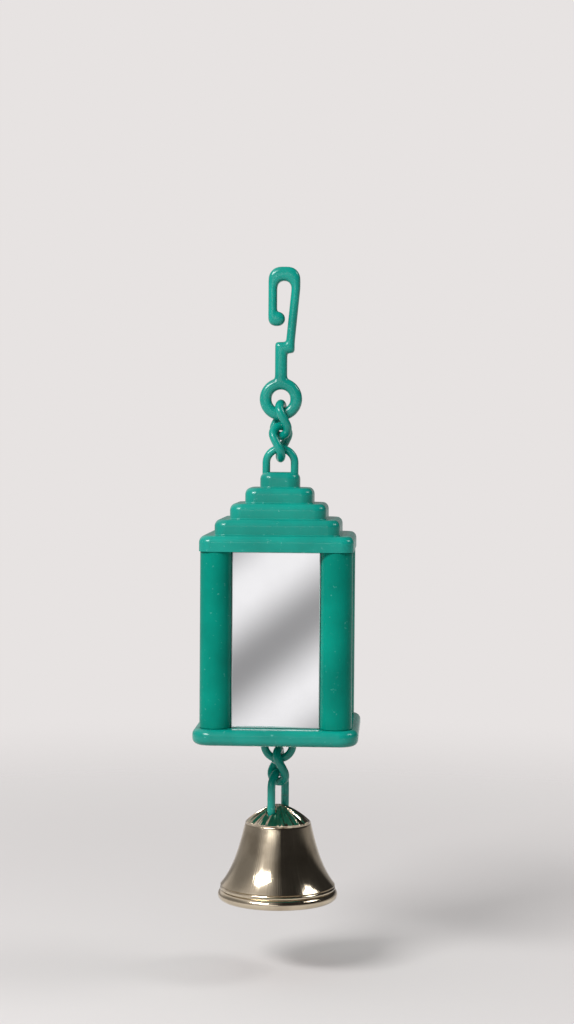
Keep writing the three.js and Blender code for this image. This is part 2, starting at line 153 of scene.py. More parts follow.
class ToyBell(bpy.types.PropertyGroup):
    """Sizes of the bell, its hanger and its clapper."""

    shoulder: length("Shoulder", "Radius of the shoulder", 7.2)
    crown: length("Crown", "Height of the crown over the shoulder", 3.9)
    crown_flat: length("Crown flat", "Nearly flat middle of the crown", 2.2)
    shoulder_round: length("Shoulder fullness", "Fullness of the crown next to the shoulder", 1.6)
    pleats: count("Pleats", "Drawing pleats around the crown", 18)
    pleat_depth: length("Pleat depth", "Depth of the deeper pleats", 0.8)
    wall: length("Wall", "Thickness of the bell's metal", 0.8)
    bead: length("Bead", "Radius of the rolled rim", 1.15)
    groove: length("Groove", "Depth of the turned grooves over the rim", 0.3)
    band: length("Band", "Height of the grooved band over the rim", 1.05)
    waist: length("Waist", "Widening over the upper part of the side", 1.2)
    waist_reach: length("Waist reach", "Height of the upper part of the side", 4.9)
    flare: length("Flare", "Widening gathered over the lower part of the side", 3)
    flare_reach: length("Flare reach", "Height of the lower part of the side", 3.7)
    hanger_bar: length("Hanger bar", "Thickness of the ring through the crown", 1.76)
    hanger_half_width: length("Hanger half width", "Axis of the bell to each leg of the ring", 3.2)
    hole: length("Hole", "Radius of each hole in the crown", 1.2)
    wire: length("Wire", "Thickness of the clapper's wire", 1.1)
    eye: length("Eye", "Middle radius of the wire's eye", 1.95)
    bore: length("Bore", "Radius of the hole in the ball", 0.7)


class ToyFinish(bpy.types.PropertyGroup):
    """Colours of the materials."""

    plastic: tint("Plastic", "Moulded plastic", "#058f80")
    # Painted shade: a darker copy of the moulded plastic's colour, which stands in for the shade on
    # the frame's columns
    shade_darkened_frame_plastic: tint("Frame plastic", "Deeper plastic of the mirror frame", "#03806f")
    scuff: tint("Scuff", "Rubbed and scratched plastic", "#6bb8ad")
    silver: tint("Silver", "Silvered sheet", "#f0f3f6")
    mirror_rim: tint("Mirror rim", "Ground edge of the silvered sheet", "#d4dcdb")
    nickel: tint("Nickel", "Polished nickel plate", "#d2c5ae")
    tarnish: tint("Tarnish", "Dull patches on the nickel", "#8f8069")
    steel: tint("Steel", "Plain steel", "#8d8f92")
    foam: tint("Foam", "Adhesive foam pad", "#d9d6cc")
    backdrop: tint("Backdrop", "Background", "#e7e3e2")
    floor: tint("Floor", "Floor under the toy", "#ddd9d8")
    floor_shade: tint("Floor shade", "Floor where it throws light back on the toy", "#bcb9b8")


class ToyStage(bpy.types.PropertyGroup):
    """Camera, floor and light."""

    distance: length("Distance", "Camera to the axis of the toy", 450)
    yaw: angle("Yaw", "Camera's way round to the right", 3)
    elevation: angle("Elevation", "Camera's height angle", 2)
    roll: angle("Roll", "Tilt of the picture", 0.4)
    view_height: length("View height", "Height of the picture at the axis", 224.5)
    aim_x: length("Aim to the right", "Middle of the picture to the right of the axis", 1.5)
    aim_drop: length("Aim drop", "Middle of the picture below the hook's seat", 50.6)
    floor_drop: length("Floor drop", "Floor below the hook's seat", 152)
    floor_radius: length("Floor radius", "Reach of the floor, which fades into the background", 600)
    lamp_distance: length("Lamp distance", "Each lamp to the middle of the toy", 650)
    lamp_aim: length("Lamp aim", "Where the lamps point below the hook's seat", 70)
    key_turn: angle("Key turn", "Main lamp's way round to the right", -37)
    key_height: angle("Key height", "Main lamp's height angle", 35)
    key_width: length("Key width", "Width of the main lamp", 300)
    key_depth: length("Key depth", "Height of the main lamp", 110)
    key_power: power("Key power", "Power of the main lamp", 3.5)
    fill_turn: angle("Fill turn", "Second lamp's way round to the right", 92)
    fill_height: angle("Fill height", "Second lamp's height angle", 42)
    fill_width: length("Fill width", "Width of the second lamp", 240)
    fill_depth: length("Fill depth", "Height of the second lamp", 160)
    fill_power: power("Fill power", "Power of the second lamp", 0.9)
    strip_turn: angle("Strip turn", "Strip lamp's way round to the right", -14)
    strip_height: angle("Strip height", "Strip lamp's height angle", 9.5)
    strip_width: length("Strip width", "Width of the strip lamp", 400)
    strip_depth: length("Strip depth", "Height of the strip lamp", 60)
    strip_power: power("Strip power", "Power of the strip lamp", 0.2)


# Modelling steps


def begin(primitive, **settings):
    """Adds a primitive alone, with its place in its mesh, and opens it for editing."""
    bpy.ops.object.select_all(action="DESELECT")
    primitive(**settings)
    bpy.ops.object.transform_apply(location=True, rotation=True, scale=True)
    bpy.ops.object.mode_set(mode="EDIT")
    return bpy.context.object


def end():
    """Merges doubles, turns all faces outwards and closes the edit."""
    bpy.ops.mesh.select_mode(type="VERT")
    bpy.ops.mesh.select_all(action="SELECT")
    bpy.ops.mesh.remove_doubles(threshold=TINY)
    bpy.ops.mesh.normals_make_consistent(inside=False)
    bpy.ops.object.mode_set(mode="OBJECT")


def pick(kind, test):
    """Selects the vertices, edges or faces of the open mesh that pass a test."""
    bpy.ops.mesh.select_mode(type=kind)
    bpy.ops.mesh.select_all(action="DESELECT")
    mesh = bmesh.from_edit_mesh(bpy.context.object.data)
    mesh.normal_update()
    for part in {"VERT": mesh.verts, "EDGE": mesh.edges, "FACE": mesh.faces}[kind]:
        if test(part):
            part.select_set(True)
    mesh.select_flush_mode()
    bmesh.update_edit_mesh(bpy.context.object.data)


def extrude(x, y, z):
    """Extrudes the selection by a way."""
    bpy.ops.mesh.extrude_region_move(TRANSFORM_OT_translate={"value": (x, y, z)})


def level(edge):
    """Whether an edge lies level."""
    return abs(edge.verts[0].co.z - edge.verts[1].co.z) < TINY


def rim_edge(edge):
    """Whether an edge borders a level face and a standing one."""
    slopes = [abs(face.normal.z) for face in edge.link_faces]
    return max(slopes) > FLAT and min(slopes) < 1 - FLAT


def sweep(points):
    """Extrudes the selected face along points and turns it square to the way at each."""
    way = (points[1] - points[0]).normalized()
    for index in range(1, len(points)):
        here = points[index]
        extrude(*(here - points[index - 1]))
        ahead = points[min(index + 1, len(points) - 1)]
        onward = (ahead - points[index - 1]).normalized()
        for axis, turn in zip("XYZ", way.rotation_difference(onward).to_euler("XYZ")):
            if abs(turn) > TINY:
                bpy.ops.transform.rotate(value=-turn, orient_axis=axis, center_override=here)
        way = onward


def bar(points, thickness, sides=20):
    """A round bar along points."""
    way = points[1] - points[0]
    piece = begin(
        bpy.ops.mesh.primitive_circle_add,
        vertices=sides,
        radius=thickness / 2,
        fill_type="NGON",
        location=points[0],
        rotation=way.to_track_quat("Z", "Y").to_euler(),
    )
    sweep(points)
    end()
    return piece


def arc(centre, radius, first, last, steps):
    """Points on an arc in the XZ plane, by angles from +X towards +Z."""
    turns = [first + (last - first) * step / steps for step in range(steps + 1)]
    return [centre + Vector((radius * math.cos(t), 0, radius * math.sin(t))) for t in turns]


def ring_path(half_width, pitch, twist, slit, bend_steps=24, side_steps=6):
    """Points along a long ring from one end of its slit to the other, twisted about Z.

    The upper bend lies along X, and the ring is centred on the origin.
    """
    side = pitch / 2 - half_width
    top, bottom = Vector((0, 0, side)), Vector((0, 0, -side))
    points = [Vector((half_width, 0, slit / 2))]
    points += arc(top, half_width, 0, math.pi, bend_steps)
    for step in range(1, side_steps):
        points.append(Vector((-half_width, 0, side - 2 * side * step / side_steps)))
    points += arc(bottom, half_width, math.pi, 2 * math.pi, bend_steps)
    points.append(Vector((half_width, 0, -slit / 2)))
    twisted = []
    for point in points:
        share = min(max((pitch / 2 - point.z) / pitch, 0), 1)
        turn = twist * share * share * (3 - 2 * share)
        twisted.append(Matrix.Rotation(turn, 3, "Z") @ point)
    return twisted


def only(piece):
    """Selects one piece alone."""
    bpy.ops.object.select_all(action="DESELECT")
    piece.select_set(True)
    bpy.context.view_layer.objects.active = piece


def copies(piece, count):
    """A piece and further copies of it, each with its own mesh."""
    pieces = [piece]
    while len(pieces) < count:
        only(piece)
        bpy.ops.object.duplicate(linked=False)
        pieces.append(bpy.context.object)
    return pieces


def place(piece, turn, z):
    """Turns a piece about Z, lifts it to its height and keeps that in its mesh."""
    only(piece)
    piece.rotation_euler.z = turn
    piece.location.z = z
    bpy.ops.object.transform_apply(location=True, rotation=True, scale=True)


def modify(piece, kind, **settings):
    """Adds a modifier to a piece and applies it."""
    only(piece)
    bpy.ops.object.modifier_add(type=kind)
    modifier = piece.modifiers[-1]
    for key, value in settings.items():
        setattr(modifier, key, value)
    bpy.ops.object.modifier_apply(modifier=modifier.name)
    if not piece.data.polygons:
        raise RuntimeError(f"{piece.name} has no faces left after its {kind} step")


def combine(piece, tool, operation):
    """Joins another body to a piece, or cuts it away, and clears slivers along the cut."""
    modify(piece, "BOOLEAN", operation=operation, object=tool, solver="EXACT")
    bpy.data.objects.remove(tool)
    bpy.ops.object.mode_set(mode="EDIT")
    bpy.ops.mesh.select_all(action="SELECT")
    bpy.ops.mesh.dissolve_degenerate(threshold=TINY)
    pick("FACE", lambda f: len(f.verts) > 4)
    bpy.ops.mesh.quads_convert_to_tris(quad_method="BEAUTY", ngon_method="BEAUTY")
    end()


def dress(piece, name, body, node, recipe, crease=40):
    """Names and shades a finished piece, sets its material and its body, and hides the solid it
    stands for.
    """
    only(piece)
    bpy.ops.object.shade_smooth_by_angle(angle=math.radians(crease))
    modify(piece, "WEIGHTED_NORMAL", keep_sharp=True)
    piece.name = name
    piece.data.name = name
    piece.data.materials.clear()
    piece.data.materials.append(finished(recipe))
    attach(piece, body)
    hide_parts(node)


def soft_square(half, corner, z, steps=8):
    """Opens a flat square with round corners."""
    piece = begin(bpy.ops.mesh.primitive_plane_add, size=2 * half, location=(0, 0, z))
    bpy.ops.mesh.bevel(offset=corner, segments=steps, affect="VERTICES")
    return piece


def draw_in(amount):
    """Moves each corner of the selected face inwards, which keeps the corner's radius."""
    mesh = bmesh.from_edit_mesh(bpy.context.object.data)
    ring = {v.index for v in mesh.verts if v.select}
    for x in (-1, 1):
        for y in (-1, 1):
            pick("VERT", lambda v: v.index in ring and v.co.x * x > 0 and v.co.y * y > 0)
            bpy.ops.transform.translate(value=(-x * amount, -y * amount, 0))
    pick("VERT", lambda v: v.index in ring)


def arch(chain, steps=28):
    """A loop in the XZ plane that stands on z = 0 and roots below it."""
    half, rise, root = chain.loop_half_width, chain.loop_rise, chain.loop_root
    spring = Vector((0, 0, rise - half))
    points = [Vector((half, 0, -root))]
    points += arc(spring, half, 0, math.pi, steps)
    points.append(Vector((-half, 0, -root)))
    return bar(points, chain.loop_bar)


def bell_turn(chain):
    """Turn of the bell about Z, which follows from the links that carry it."""
    return chain.crossing + chain.twist + chain.hanger_crossing


def hollow(piece, half, bottom, top):
    """Cuts a square hollow out of a piece."""
    tool = begin(
        bpy.ops.mesh.primitive_cube_add,
        size=1,
        location=(0, 0, (bottom + top) / 2),
        scale=(2 * half, 2 * half, top - bottom),
    )
    bpy.ops.object.mode_set(mode="OBJECT")
    combine(piece, tool, "DIFFERENCE")


# Materials


def finished(recipe):
    """The material of a recipe, made the first time it is asked for."""
    if recipe not in MATERIALS:
        MATERIALS[recipe] = recipe(bpy.context.scene.toy_finish)
    return MATERIALS[recipe]


def fill(tree, node, inputs):
    """Links or fills inputs of a node."""
    for key, value in inputs.items():
        if isinstance(value, bpy.types.NodeSocket):
            tree.links.new(value, node.inputs[key])
        else:
            node.inputs[key].default_value = value


def add(tree, kind, inputs, **settings):
    """Adds a shader node with its settings and its inputs."""
    node = tree.nodes.new(f"ShaderNode{kind}")
    for key, value in settings.items():
        setattr(node, key, value)
    fill(tree, node, inputs)
    return node


def noise(tree, here, size, detail):
    """A noise pattern whose coarsest grains have a given size."""
    grain = {"Vector": here, "Scale": 1 / size, "Detail": detail}
    return add(tree, "TexNoise", grain).outputs["Fac"]


def remap(tree, value, low=0, high=1, start=0, end=1, **settings):
    """A value that goes from low to high while another goes from start to end."""
    ranges = {"Value": value, "From Min": start, "From Max": end, "To Min": low, "To Max": high}
    return add(tree, "MapRange", ranges, **settings).outputs["Result"]


def calculate(tree, operation, *values):
    """Result of a calculation with one to three values."""
    return add(tree, "Math", dict(enumerate(values)), operation=operation).outputs["Value"]


def toned(tree, colour, pattern, low, high):
    """A colour scaled by low to high while a pattern goes from nothing to full."""
    scale = remap(tree, pattern, low, high)
    return add(tree, "VectorMath", {0: colour, "Scale": scale}, operation="SCALE").outputs["Vector"]


def blend(tree, share, first, second):
    """A colour that goes from one to another with a share."""
    colours = {"Factor": share, MIX_A: first, MIX_B: second}
    return add(tree, "Mix", colours, data_type="RGBA").outputs[MIX_OUT]


def bump(tree, pattern, height, strength=1, **ground):
    """The normal of a surface that is bumped by a pattern of a given height."""
    shape = {"Height": pattern, "Strength": strength, "Distance": height, **ground}
    return add(tree, "Bump", shape).outputs["Normal"]


def rgba(colour):
    """A colour with full alpha."""
    return (*colour, 1)


def new_material(name):
    """A new material, its node tree, its shader and its Object coordinates."""
    material = bpy.data.materials.new(name)
    material.use_nodes = True
    tree = material.node_tree
    here = add(tree, "TexCoord", {}).outputs["Object"]
    return material, tree, tree.nodes["Principled BSDF"], here


def polystyrene(name, base, scuff, shine):
    """Glossy injection-moulded polystyrene.

    The eye sees an even deep colour with faint flow clouds, a gloss that is slightly wavy,
    and sparse pale scuffs where pieces have rubbed together.
    """
    cloud = 9 * MM
    ripple, ripple_height = 3 * MM, 0.05 * MM
    rub = 0.8 * MM  # real scuffs are finer and would not show
    material, tree, shader, here = new_material(name)
    clouds = noise(tree, here, cloud, detail=3)
    rubs = noise(tree, here, rub, detail=2)
    ripples = noise(tree, here, ripple, detail=1)
    even = toned(tree, base, clouds, low=0.6, high=1.4)
    worn = remap(tree, rubs, start=0.68, end=0.8, high=0.6)
    look = {
        "Base Color": blend(tree, worn, even, rgba(scuff)),
        "Roughness": remap(tree, rubs, low=0.14, high=0.3),
        "Normal": bump(tree, ripples, ripple_height, strength=0.25),
        "IOR": 1.5,
        "Specular IOR Level": shine,
    }
    fill(tree, shader, look)
    return material


def moulded_plastic(finish):
    """The plastic of the hook, the chain, the roof and the base."""
    return polystyrene("moulded_polystyrene", finish.plastic, finish.scuff, shine=0.4)


def shade_darkened_frame_plastic(finish):
    """The plastic of the mirror frame: a darker copy of the moulded plastic whose colour paints the
    shade on the columns, with a duller shine.
    """
    return polystyrene("deep_moulded_polystyrene", finish.shade_darkened_frame_plastic, finish.scuff, shine=0.06)


def silvered_sheet(finish):
    """Silvered acrylic sheet.

    The eye sees a clear reflection, a little soft from handling smears, that swells and sinks in
    slanting waves because the thin sheet is warped.
    """
    lantern = bpy.context.scene.toy_lantern
    smear = 7 * MM
    slant = Vector((-0.62, -0.62, 0.78))  # the way in which the waves follow each other
    low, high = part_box("mirror_front")
    material, tree, shader, here = new_material("silvered_acrylic")
    smears = noise(tree, here, smear, detail=5)
    pace = slant * (2 * math.pi / lantern.mirror_wave)
    along = add(tree, "VectorMath", {0: here, 1: pace}, operation="DOT_PRODUCT").outputs["Value"]
    wave = calculate(tree, "COSINE", calculate(tree, "ADD", along, lantern.mirror_phase))
    height = add(tree, "SeparateXYZ", {"Vector": here}).outputs["Z"]
    up = remap(tree, height, low=-1, start=low.z, end=high.z)
    dish = calculate(tree, "MULTIPLY", up, up)
    depth = lantern.mirror_dish / lantern.mirror_warp
    shape = calculate(tree, "MULTIPLY_ADD", dish, depth, wave)
    look = {
        "Base Color": toned(tree, finish.silver, smears, low=1.03, high=0.95),
        "Roughness": remap(tree, smears, low=0.03, high=0.12),
        "Normal": bump(tree, shape, lantern.mirror_warp),
        "Metallic": 1,
    }
    fill(tree, shader, look)
    return material


def ground_acrylic(finish):
    """Ground edge of acrylic sheet: the eye sees a thin pale frosted line with fine saw marks."""
    mark = 0.6 * MM  # real saw marks are finer and would not show
    material, tree, shader, here = new_material("ground_acrylic")
    marks = noise(tree, here, mark, detail=2)
    colour = toned(tree, finish.mirror_rim, marks, low=0.8, high=1.1)
    fill(tree, shader, {"Base Color": colour, "Roughness": 0.5, "IOR": 1.49})
    return material


def nickel_plate(finish):
    """Bright nickel plate over spun sheet metal.

    The eye sees warm mirror-like reflections with fine polishing streaks down the side,
    fine folds between the pleats of the crown, and a few dull, brownish patches.
    """
    patch = 5 * MM
    # Widths of streaks and folds are in radians; real streaks are finer and would not show
    streak, streak_height = 1 / 34, 0.05 * MM
    fold, fold_height = 1 / 5, 1.7 * MM
    border = 0.2 * MM  # where the folds run out at the shoulder
    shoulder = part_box("bell_shell")[1].z - bpy.context.scene.toy_bell.crown
    material, tree, shader, here = new_material("bright_nickel_plate")
    axes = add(tree, "SeparateXYZ", {"Vector": here}).outputs
    spoke = add(tree, "CombineXYZ", {"X": axes["X"], "Y": axes["Y"]}).outputs["Vector"]
    around = add(tree, "VectorMath", {0: spoke}, operation="NORMALIZE").outputs["Vector"]
    streaks = noise(tree, around, streak, detail=3)
    folds = noise(tree, around, fold, detail=1)
    patches = noise(tree, here, patch, detail=4)
    dull = remap(tree, patches, start=0.45, end=0.75, high=0.5)
    on_crown = remap(tree, axes["Z"], start=shoulder - border, end=shoulder + border)
    folded = bump(tree, calculate(tree, "MULTIPLY", folds, on_crown), fold_height)
    look = {
        "Base Color": blend(tree, dull, rgba(finish.nickel), rgba(finish.tarnish)),
        "Roughness": remap(tree, streaks, start=0.3, end=0.7, low=0.05, high=0.18),
        "Normal": bump(tree, streaks, streak_height, strength=0.5, Normal=folded),
        "Metallic": 1,
    }
    fill(tree, shader, look)
    return material


def plain_steel(finish):
    """Drawn and tumbled steel: the eye sees a grey satin metal with small dark specks."""
    speck, speck_height = 0.7 * MM, 0.03 * MM  # real specks are finer and would not show
    material, tree, shader, here = new_material("tumbled_steel")
    specks = noise(tree, here, speck, detail=4)
    look = {
        "Base Color": toned(tree, finish.steel, specks, low=0.6, high=1.2),
        "Roughness": remap(tree, specks, low=0.45, high=0.25),
        "Normal": bump(tree, specks, speck_height, strength=0.3),
        "Metallic": 1,
    }
    fill(tree, shader, look)
    return material


def adhesive_foam(finish):
    """White polyethylene foam tape: the eye sees a matt sheet with fine closed cells."""
    cell, cell_height = 0.35 * MM, 0.08 * MM
    material, tree, shader, here = new_material("polyethylene_foam")
    cells = add(tree, "TexVoronoi", {"Vector": here, "Scale": 1 / cell}).outputs["Distance"]
    look = {
        "Base Color": toned(tree, finish.foam, cells, low=0.85, high=1.05),
        "Roughness": 0.9,
        "Normal": bump(tree, cells, cell_height, strength=0.5),
    }
    fill(tree, shader, look)
    return material


# Pieces


class TOY_OT_hook(bpy.types.Operator):
    """Smooths a copy of the hook's solid into one soft moulding"""

    bl_idname = "toy.hook"
    bl_label = "Hook"

    def execute(self, context):
        chain = context.scene.toy_chain
        piece = bpy.data.objects.new("hook_moulding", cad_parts["hanging_hook"].data.copy())
        context.collection.objects.link(piece)
        bpy.ops.object.select_all(action="DESELECT")
        context.view_layer.objects.active = piece
        bpy.ops.object.mode_set(mode="EDIT")
        end()
        modify(piece, "REMESH", mode="VOXEL", voxel_size=chain.skin)
        modify(piece, "SMOOTH", factor=0.5, iterations=chain.hook_softness)
        modify(piece, "DISPLACE", strength=chain.hook_fullness, mid_level=0)
        dress(piece, "hook_moulding", "hook", "hanging_hook", moulded_plastic)
        return {"FINISHED"}


class TOY_OT_links(bpy.types.Operator):
    """Bends the twisted links of the chain"""

    bl_idname = "toy.links"
    bl_label = "Links"

    def execute(self, context):
        chain = context.scene.toy_chain
        second_turn = 2 * chain.crossing + chain.twist + math.pi
        links = (
            ("link_upper", "first_link", "upper_link", chain.crossing),
            ("link_second", "second_link", "upper_link_second", second_turn),
            ("link_lower", "third_link", "lower_link", chain.crossing),
        )
        low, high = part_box("upper_link")
        pitch = high.z - low.z - chain.bar
        first = bar(ring_path(chain.half_width, pitch, chain.twist, chain.slit), chain.bar)
        for piece, (name, body, node, turn) in zip(copies(first, len(links)), links):
            low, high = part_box(node)
            place(piece, turn, (low.z + high.z) / 2)
            dress(piece, name, body, node, moulded_plastic)
        return {"FINISHED"}


class TOY_OT_roof(bpy.types.Operator):
    """Raises the stepped roof tier by tier and adds its loop"""

    bl_idname = "toy.roof"
    bl_label = "Roof"

    def execute(self, context):
        chain, lantern = context.scene.toy_chain, context.scene.toy_lantern
        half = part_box("roof")[1].x
        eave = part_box("mirror_frame")[1].z
        piece = soft_square(half, lantern.tier_corner, eave)
        for tier in range(lantern.tiers):
            if tier:
                extrude(0, 0, 0)
                draw_in(lantern.tier_run)
            extrude(0, 0, lantern.tier_rise)
        bpy.ops.mesh.select_all(action="SELECT")
        bpy.ops.mesh.normals_make_consistent(inside=False)
        pick(
            "EDGE",
            lambda e: level(e) and rim_edge(e) and e.is_convex and e.verts[0].co.z > eave + TINY,
        )
        bpy.ops.mesh.bevel(offset=lantern.tier_rounding, segments=7, affect="EDGES")
        pick("EDGE", lambda e: level(e) and rim_edge(e) and not e.is_convex)
        bpy.ops.mesh.bevel(offset=lantern.crease, segments=3, affect="EDGES")
        end()
        hollow(piece, lantern.core, eave - lantern.roof_hollow, eave + lantern.roof_hollow)
        loop = arch(chain)
        place(loop, 0, eave + lantern.tiers * lantern.tier_rise)
        combine(piece, loop, "UNION")
        dress(piece, "roof_tiers", "lantern", "roof", moulded_plastic)
        return {"FINISHED"}


class TOY_OT_frame(bpy.types.Operator):
    """Stands the corner columns around the walls behind the mirrors"""

    bl_idname = "toy.frame"
    bl_label = "Mirror Frame"

    def execute(self, context):
        lantern = context.scene.toy_lantern
        low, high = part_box("mirror_frame")
        middle, tall = (low.z + high.z) / 2, high.z - low.z
        piece = begin(
            bpy.ops.mesh.primitive_cube_add,
            size=1,
            location=(0, 0, middle),
            scale=(2 * lantern.wall, 2 * lantern.wall, tall - 2 * lantern.seam),
        )
        end()
        offset = high.x - lantern.column / 2
        first = begin(
            bpy.ops.mesh.primitive_cylinder_add,
            vertices=72,
            radius=lantern.column / 2,
            depth=tall,
            location=(offset, offset, middle),
        )
        pick("EDGE", level)
        bpy.ops.mesh.bevel(offset=lantern.seam, segments=3, affect="EDGES")
        end()
        for quarter, column in enumerate(copies(first, len(SIDES))):
            place(column, quarter * math.pi / 2, 0)
            combine(piece, column, "UNION")
        hollow(piece, lantern.core, low.z - tall, high.z + tall)
        # The frame takes the darker copy of the plastic, whose colour paints the shade on its
        # columns
        dress(piece, "lantern_frame", "lantern", "mirror_frame", shade_darkened_frame_plastic)
        return {"FINISHED"}


class TOY_OT_mirrors(bpy.types.Operator):
    """Grinds the edges of a mirror sheet, copies it to each side, and colours the pads behind"""

    bl_idname = "toy.mirrors"
    bl_label = "Mirrors"

    def execute(self, context):
        lantern = context.scene.toy_lantern
        low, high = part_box("mirror_front")
        reach = 2 * lantern.mirror_reach
        front = begin(
            bpy.ops.mesh.primitive_cube_add,
            size=1,
            location=(low + high) / 2,
            scale=high - low + Vector((reach, 0, reach)),
        )
        pick("EDGE", lambda e: all(v.co.y < low.y + TINY for v in e.verts))
        bpy.ops.mesh.bevel(offset=lantern.mirror_edge, segments=2, affect="EDGES")
        end()
        for quarter, (side, piece) in enumerate(zip(SIDES, copies(front, len(SIDES)))):
            turn = quarter * math.pi / 2
            place(piece, turn, 0)
            name, node = f"mirror_sheet_{side}", f"mirror_{side}"
            dress(piece, name, "lantern", node, silvered_sheet, crease=10)
            piece.data.materials.append(finished(ground_acrylic))
            facing = Matrix.Rotation(turn, 3, "Z") @ Vector((0, 1, 0))
            for face in piece.data.polygons:
                face.material_index = int(abs(face.normal.dot(facing)) < FLAT)
            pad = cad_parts[f"mirror_pad_{side}"]
            pad.data.materials.clear()
            pad.data.materials.append(finished(adhesive_foam))
        return {"FINISHED"}


class TOY_OT_base(bpy.types.Operator):
    """Rounds the base slab and adds the loop below it"""

    bl_idname = "toy.base"
    bl_label = "Base"

    def execute(self, context):
        chain, lantern = context.scene.toy_chain, context.scene.toy_lantern
        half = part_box("base")[1].x
        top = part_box("mirror_frame")[0].z
        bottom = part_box("base")[0].z + chain.loop_rise + chain.loop_bar / 2
        piece = soft_square(half, lantern.base_corner, bottom)
        extrude(0, 0, top - bottom)
        pick("EDGE", lambda e: level(e) and rim_edge(e))
        bpy.ops.mesh.bevel(offset=lantern.base_rounding, segments=7, affect="EDGES")
        end()
        hollow(piece, lantern.core, bottom + lantern.base_floor, top + lantern.base_floor)
        loop = arch(chain)
        loop.rotation_euler.y = math.pi
        place(loop, 0, bottom)
        combine(piece, loop, "UNION")
        dress(piece, "lantern_base", "lantern", "base", moulded_plastic)
        return {"FINISHED"}


class TOY_OT_bell(bpy.types.Operator):
    """Turns the bell from its profile, presses pleats into its crown and drills the crown"""

    bl_idname = "toy.bell"
    bl_label = "Bell"
    spokes = 144
    drill_sides = 42  # corners that miss the spokes, so the cut stays clean
    crown_steps = 14
    side_steps = 26
    bead_steps = 12
    bead_start = 55  # degrees above the level where the rolled rim leaves the band
    bead_sweep = 145  # degrees around the rolled rim to its underside
    # Way out and down to each point of the band, in depths of a groove and heights of the band
    turning = ((-1, -0.3), (-0.8, -0.45), (0.2, -0.65), (0.2, -0.85), (-0.6, -1.05))
    shallow = 0.5  # depth of every second pleat against the deeper ones

    def crown(self, bell):
        """Radius and height along the crown, from its middle to the shoulder."""
        shoulder = Vector((bell.shoulder, -bell.crown))
        full = shoulder + Vector((-bell.shoulder_round, bell.shoulder_round))
        middle, flat = Vector((0, 0)), Vector((bell.crown_flat, 0))
        return interpolate_bezier(middle, flat, full, shoulder, self.crown_steps)

    def profile(self, bell, rim_radius, height):
        """Radius and height along the outside, round the rim and back along the inside."""
        rim = Vector((rim_radius - bell.bead, bell.bead - height))
        lip = rim + Vector((bell.bead / 2, bell.bead + bell.band))
        shoulder = Vector((bell.shoulder, -bell.crown))
        waist = shoulder + Vector((bell.waist, -bell.waist_reach))
        flare = lip + Vector((-bell.flare, bell.flare_reach))
        side = interpolate_bezier(shoulder, waist, flare, lip, self.side_steps)
        outside = self.crown(bell)[1:] + side[1:]
        inside = []
        for before, point, after in zip(outside, outside[1:], outside[2:]):
            way = (after - before).normalized()
            inside.insert(0, point + Vector((way.y, -way.x)) * bell.wall)
        band = [lip + Vector((out * bell.groove, down * bell.band)) for out, down in self.turning]
        bead = []
        for step in range(self.bead_steps + 1):
            turn = math.radians(self.bead_start - self.bead_sweep * step / self.bead_steps)
            bead.append(rim + bell.bead * Vector((math.cos(turn), math.sin(turn))))
        return outside + band + bead + inside

    def pleat(self, bell):
        """Presses pleats into the crown, deep and shallow in turn, that fade at its ends."""
        period = 2 * self.spokes // bell.pleats

        def spoke(vertex):
            turn = math.atan2(vertex.co.y, vertex.co.x)
            return round(turn * self.spokes / (2 * math.pi)) % period

        def on_ring(vertex, ring):
            return abs(vertex.co.xy.length - ring.x) < TINY and abs(vertex.co.z - ring.y) < TINY

        for ring in self.crown(bell)[1:-1]:
            share = ring.x / bell.shoulder
            deepest = bell.pleat_depth * share * math.sin(math.pi * share)
            for step in range(period):
                turn = 2 * math.pi * step / period
                press = 0.5 + 0.5 * math.cos(2 * turn)
                depth = (1 + self.shallow) / 2 + (1 - self.shallow) / 2 * math.cos(turn)
                pick("VERT", lambda v: on_ring(v, ring) and spoke(v) == step)
                bpy.ops.transform.translate(value=(0, 0, -deepest * press * depth))

    def execute(self, context):
        bell = context.scene.toy_bell
        low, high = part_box("bell_shell")
        points = self.profile(bell, high.x, high.z - low.z)
        piece = begin(
            bpy.ops.mesh.primitive_circle_add,
            vertices=self.spokes,
            radius=points[0].x,
            location=(0, 0, points[0].y),
        )
        for before, point in zip(points, points[1:]):
            extrude(0, 0, point.y - before.y)
            grow = point.x / before.x
            bpy.ops.transform.resize(value=(grow, grow, 1), center_override=(0, 0, 0))
        bpy.ops.mesh.merge(type="CENTER")
        pick("VERT", lambda v: v.is_boundary)
        bpy.ops.mesh.merge(type="CENTER")
        self.pleat(bell)
        end()
        first = begin(
            bpy.ops.mesh.primitive_cylinder_add,
            vertices=self.drill_sides,
            radius=bell.hole,
            depth=2 * bell.crown,
            location=(bell.hanger_half_width, 0, 0),
        )
        end()
        for half, drill in enumerate(copies(first, 2)):
            place(drill, half * math.pi, 0)
            combine(piece, drill, "DIFFERENCE")
        place(piece, bell_turn(context.scene.toy_chain), high.z)
        dress(piece, "bell_body", "bell", "bell_shell", nickel_plate, crease=50)
        return {"FINISHED"}


class TOY_OT_hanger(bpy.types.Operator):
    """Bends the ring that holds the bell"""

    bl_idname = "toy.hanger"
    bl_label = "Hanger"

    def execute(self, context):
        chain, bell = context.scene.toy_chain, context.scene.toy_bell
        low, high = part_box("bell_hanger")
        pitch = high.z - low.z - bell.hanger_bar
        piece = bar(ring_path(bell.hanger_half_width, pitch, 0, chain.slit), bell.hanger_bar)
        place(piece, bell_turn(chain) + math.pi, (low.z + high.z) / 2)
        dress(piece, "bell_ring", "bell", "bell_hanger", moulded_plastic)
        return {"FINISHED"}


